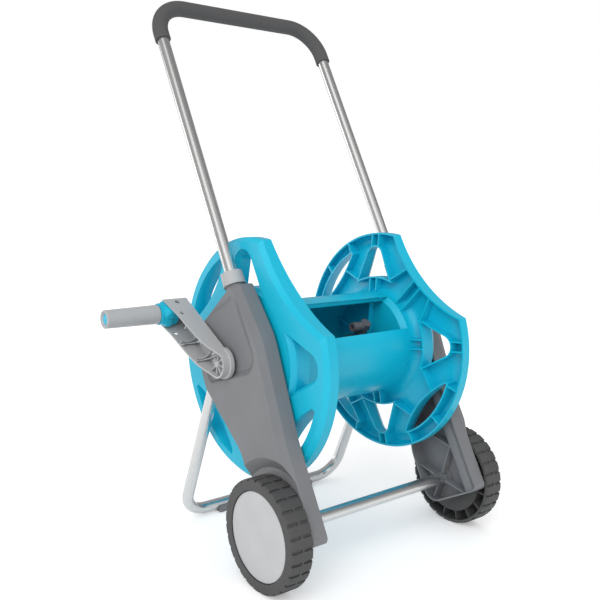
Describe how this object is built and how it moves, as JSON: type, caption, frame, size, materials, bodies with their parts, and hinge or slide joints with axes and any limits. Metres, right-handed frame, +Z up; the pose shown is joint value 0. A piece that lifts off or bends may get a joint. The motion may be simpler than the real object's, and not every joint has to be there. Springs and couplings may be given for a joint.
{
  "type": "hose reel cart",
  "caption": "Wheeled garden hose cart: windowed reel flanges on a drum with a hand window, side casings, bent support leg, sliding U handle and a folding crank.",
  "frame": {"origin": "bottom centre of the whole cart's box, on the ground", "axes": "+X along the reel and wheel axles, away from the crank; +Y from the wheels towards the support leg; +Z up"},
  "size_m": [0.5698, 0.4676, 0.914],
  "materials": {
    "cyan_plastic": "satin moulded",
    "dark_plastic": "fine-textured moulded",
    "light_plastic": "satin moulded",
    "cap_plastic": "satin moulded",
    "foam": "matt foam",
    "tyre": "matt",
    "aluminium": "polished",
    "steel": "zinc plated",
    "fitting_plastic": "moulded"
  },
  "bodies": {
    "frame": {"axle_tube": "aluminium", "axle_rod": "steel", "support_leg": "aluminium", "inlet_fitting": "fitting_plastic", "side_casing_left": "dark_plastic", "side_casing_right": "dark_plastic", "reel_bearing_left": "fitting_plastic", "reel_bearing_right": "fitting_plastic", "foot_pad_left": "dark_plastic", "foot_pad_right": "dark_plastic", "axle_washer_left": "steel", "axle_washer_right": "steel"},
    "handle": {"handle_tube": "aluminium", "handle_grip": "foam", "tube_plug_left": "fitting_plastic", "tube_plug_right": "fitting_plastic"},
    "left_nut": {"clamp_nut_left": "light_plastic"},
    "right_nut": {"clamp_nut_right": "light_plastic"},
    "left_wheel": {"wheel_left": "tyre", "hub_cap_left": "cap_plastic"},
    "right_wheel": {"wheel_right": "tyre", "hub_cap_right": "cap_plastic"},
    "reel": {"reel_flange_left": "cyan_plastic", "reel_flange_right": "cyan_plastic", "drum_core": "cyan_plastic", "reel_shaft": "fitting_plastic", "hose_spout": "fitting_plastic", "crank_arm": "light_plastic", "crank_pin": "steel"},
    "knuckle": {"crank_knuckle": "cyan_plastic"},
    "sleeve": {"crank_grip": "light_plastic"}
  },
  "joints": [
    {"name": "handle_slide", "type": "slide", "parent": "frame", "child": "handle", "axis": [0, 0.4664, 0.8846], "range_m": [-0.15, 0]},
    {"name": "left_nut_turn", "type": "hinge", "parent": "frame", "child": "left_nut", "pos_m": [-0.11835, -0.02356, 0.43797], "axis": [0, 0.4664, 0.8846], "range_deg": [0, 90]},
    {"name": "right_nut_turn", "type": "hinge", "parent": "frame", "child": "right_nut", "pos_m": [0.23465, -0.02356, 0.43797], "axis": [0, 0.4664, 0.8846], "range_deg": [0, 90]},
    {"name": "left_wheel_spin", "type": "hinge", "parent": "frame", "child": "left_wheel", "pos_m": [-0.16735, -0.14982, 0.084], "axis": [1, 0, 0], "continuous": true},
    {"name": "right_wheel_spin", "type": "hinge", "parent": "frame", "child": "right_wheel", "pos_m": [0.28365, -0.14982, 0.084], "axis": [1, 0, 0], "continuous": true},
    {"name": "reel_spin", "type": "hinge", "parent": "frame", "child": "reel", "pos_m": [0.05815, -0.02749, 0.31603], "axis": [1, 0, 0], "continuous": true},
    {"name": "crank_fold", "type": "hinge", "parent": "reel", "child": "knuckle", "pos_m": [-0.16285, 0.08809, 0.38383], "axis": [0, -0.506, 0.8625], "range_deg": [0, 90]},
    {"name": "crank_sleeve_spin", "type": "hinge", "parent": "knuckle", "child": "sleeve", "pos_m": [-0.16285, 0.08809, 0.38383], "axis": [1, 0, 0], "continuous": true}
  ]
}
